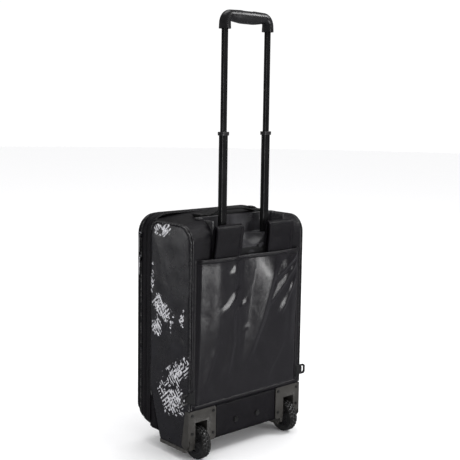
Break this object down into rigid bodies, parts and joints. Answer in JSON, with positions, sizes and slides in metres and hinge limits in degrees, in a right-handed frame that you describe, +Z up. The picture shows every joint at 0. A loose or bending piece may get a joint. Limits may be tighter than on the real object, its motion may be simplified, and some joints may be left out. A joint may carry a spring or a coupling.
{
  "type": "wheeled cabin case with stowed shoulder straps",
  "caption": "Soft wheeled cabin case with telescopic trolley handle, zipped front lid, printed side panels and backpack straps stowed in a back pocket.",
  "frame": {"origin": "on the floor, centred under the case's bounding box", "axes": "+Z up, the zipped lid faces -Y, the trolley, wheels and back pocket are at +Y, +X is the side of the main zip's pulls"},
  "size_m": [0.394, 0.2239, 1.0105],
  "materials": {
    "nylon": "semi-gloss woven nylon, black",
    "coated_print": "glossy coated black fabric with a pale scratched abstract print",
    "trim": "black corded piping and binding",
    "zip_tape": "black coil zip on woven tape",
    "lining": "dark grey woven lining",
    "webbing": "black ribbed webbing",
    "strap_cloth": "padded black nylon with bound edges",
    "board": "sheet polyethylene",
    "recess_plastic": "moulded grey plastic, satin",
    "housing_plastic": "warm dark grey moulded plastic",
    "grip_plastic": "black moulded plastic, satin top",
    "tube_paint": "black satin painted steel tube",
    "tyre": "black moulded tread",
    "hub": "black moulded hub",
    "steel": "plain steel",
    "dark_steel": "blackened steel",
    "zip_metal": "bright plated zinc",
    "ring_plastic": "black acetal"
  },
  "bodies": {
    "case": {"back_panel": "nylon", "kick_panel": "nylon", "top_panel": "nylon", "bottom_panel": "nylon", "side_panel_left": "coated_print", "side_panel_right": "coated_print", "piping_left": "trim", "piping_right": "trim", "gusset": "nylon", "zip_tape_case": "zip_tape", "back_board": "board", "frame_wire": "steel", "handle_housing": "recess_plastic", "inner_lining": "lining", "outer_tube_left": "tube_paint", "outer_tube_right": "tube_paint", "bottom_bracket": "housing_plastic", "bracket_bolts": "dark_steel", "wheel_housing_left": "housing_plastic", "wheel_housing_right": "housing_plastic", "housing_screws": "dark_steel", "axle_left": "steel", "axle_right": "steel", "front_foot_left": "housing_plastic", "front_foot_right": "housing_plastic", "back_pocket": "nylon", "pocket_hem": "trim", "shoulder_strap_left": "strap_cloth", "shoulder_strap_right": "strap_cloth", "ring_tabs": "webbing", "carry_handle": "webbing", "handle_anchors": "grip_plastic", "packing_straps": "webbing", "corner_panel_left": "nylon", "corner_panel_right": "nylon"},
    "lid": {"lid_panel": "nylon", "zip_tape_lid": "zip_tape", "front_pocket": "nylon", "front_zip_tape": "zip_tape"},
    "wheel_right": {"tyre_right": "tyre", "hub_right": "hub"},
    "wheel_left": {"tyre_left": "tyre", "hub_left": "hub"},
    "middle_stage": {"middle_tube_left": "tube_paint", "middle_tube_right": "tube_paint", "stage_collars": "grip_plastic", "middle_guides": "grip_plastic"},
    "upper_stage": {"upper_tube_left": "tube_paint", "upper_tube_right": "tube_paint", "grip_upper": "grip_plastic", "grip_lower": "grip_plastic", "upper_guides": "grip_plastic"},
    "stage_release": {"stage_button": "grip_plastic", "push_rod_yoke": "grip_plastic"},
    "slider_upper": {"main_slider_upper": "zip_metal"},
    "pull_upper": {"main_pull_upper": "zip_metal"},
    "slider_lower": {"main_slider_lower": "zip_metal"},
    "pull_lower": {"main_pull_lower": "zip_metal"},
    "slider_front": {"front_slider": "zip_metal"},
    "pull_front": {"front_pull": "zip_metal"},
    "ring_right": {"ring_right": "ring_plastic"},
    "ring_left": {"ring_left": "ring_plastic"}
  },
  "joints": [
    {"name": "wheel_right_spin", "type": "hinge", "parent": "case", "child": "wheel_right", "pos_m": [0.139, 0.074, 0.038], "axis": [1, 0, 0], "continuous": true},
    {"name": "wheel_left_spin", "type": "hinge", "parent": "case", "child": "wheel_left", "pos_m": [-0.139, 0.074, 0.038], "axis": [1, 0, 0], "continuous": true},
    {"name": "middle_slide", "type": "slide", "parent": "case", "child": "middle_stage", "axis": [0, 0, 1], "range_m": [-0.227, 0]},
    {"name": "upper_slide", "type": "slide", "parent": "middle_stage", "child": "upper_stage", "axis": [0, 0, 1], "range_m": [-0.228, 0]},
    {"name": "release_press", "type": "slide", "parent": "upper_stage", "child": "stage_release", "axis": [0, 0, 1], "range_m": [-0.0035, 0], "stiffness_N_per_m": 900},
    {"name": "lid_swing", "type": "hinge", "parent": "case", "child": "lid", "pos_m": [-0.1755, -0.09275, 0.3], "axis": [0, 0, -1], "range_deg": [0, 160]},
    {"name": "zip_upper_round_corner", "type": "hinge", "parent": "case", "child": "slider_upper", "pos_m": [0.133, -0.09275, 0.503], "axis": [0, -1, 0], "range_deg": [0, 90]},
    {"name": "zip_lower_slide", "type": "slide", "parent": "case", "child": "slider_lower", "axis": [0, 0, 1], "range_m": [-0.35, 0]},
    {"name": "zip_front_slide", "type": "slide", "parent": "lid", "child": "slider_front", "axis": [1, 0, 0], "range_m": [-0.3, 0]},
    {"name": "pull_upper_swing", "type": "hinge", "parent": "slider_upper", "child": "pull_upper", "pos_m": [0.181, -0.09275, 0.497], "axis": [0, -1, 0], "range_deg": [0, 165]},
    {"name": "pull_lower_swing", "type": "hinge", "parent": "slider_lower", "child": "pull_lower", "pos_m": [0.181, -0.09275, 0.443], "axis": [0, -1, 0], "range_deg": [0, 165]},
    {"name": "pull_front_swing", "type": "hinge", "parent": "slider_front", "child": "pull_front", "pos_m": [0.158, -0.1105, 0.435], "axis": [-1, 0, 0], "range_deg": [0, 165]},
    {"name": "ring_right_swing", "type": "hinge", "parent": "case", "child": "ring_right", "pos_m": [0.1815, 0.0855, 0.149], "axis": [0, 0, 1], "range_deg": [-90, 90]},
    {"name": "ring_left_swing", "type": "hinge", "parent": "case", "child": "ring_left", "pos_m": [-0.1815, 0.0855, 0.149], "axis": [0, 0, 1], "range_deg": [-90, 90]}
  ]
}
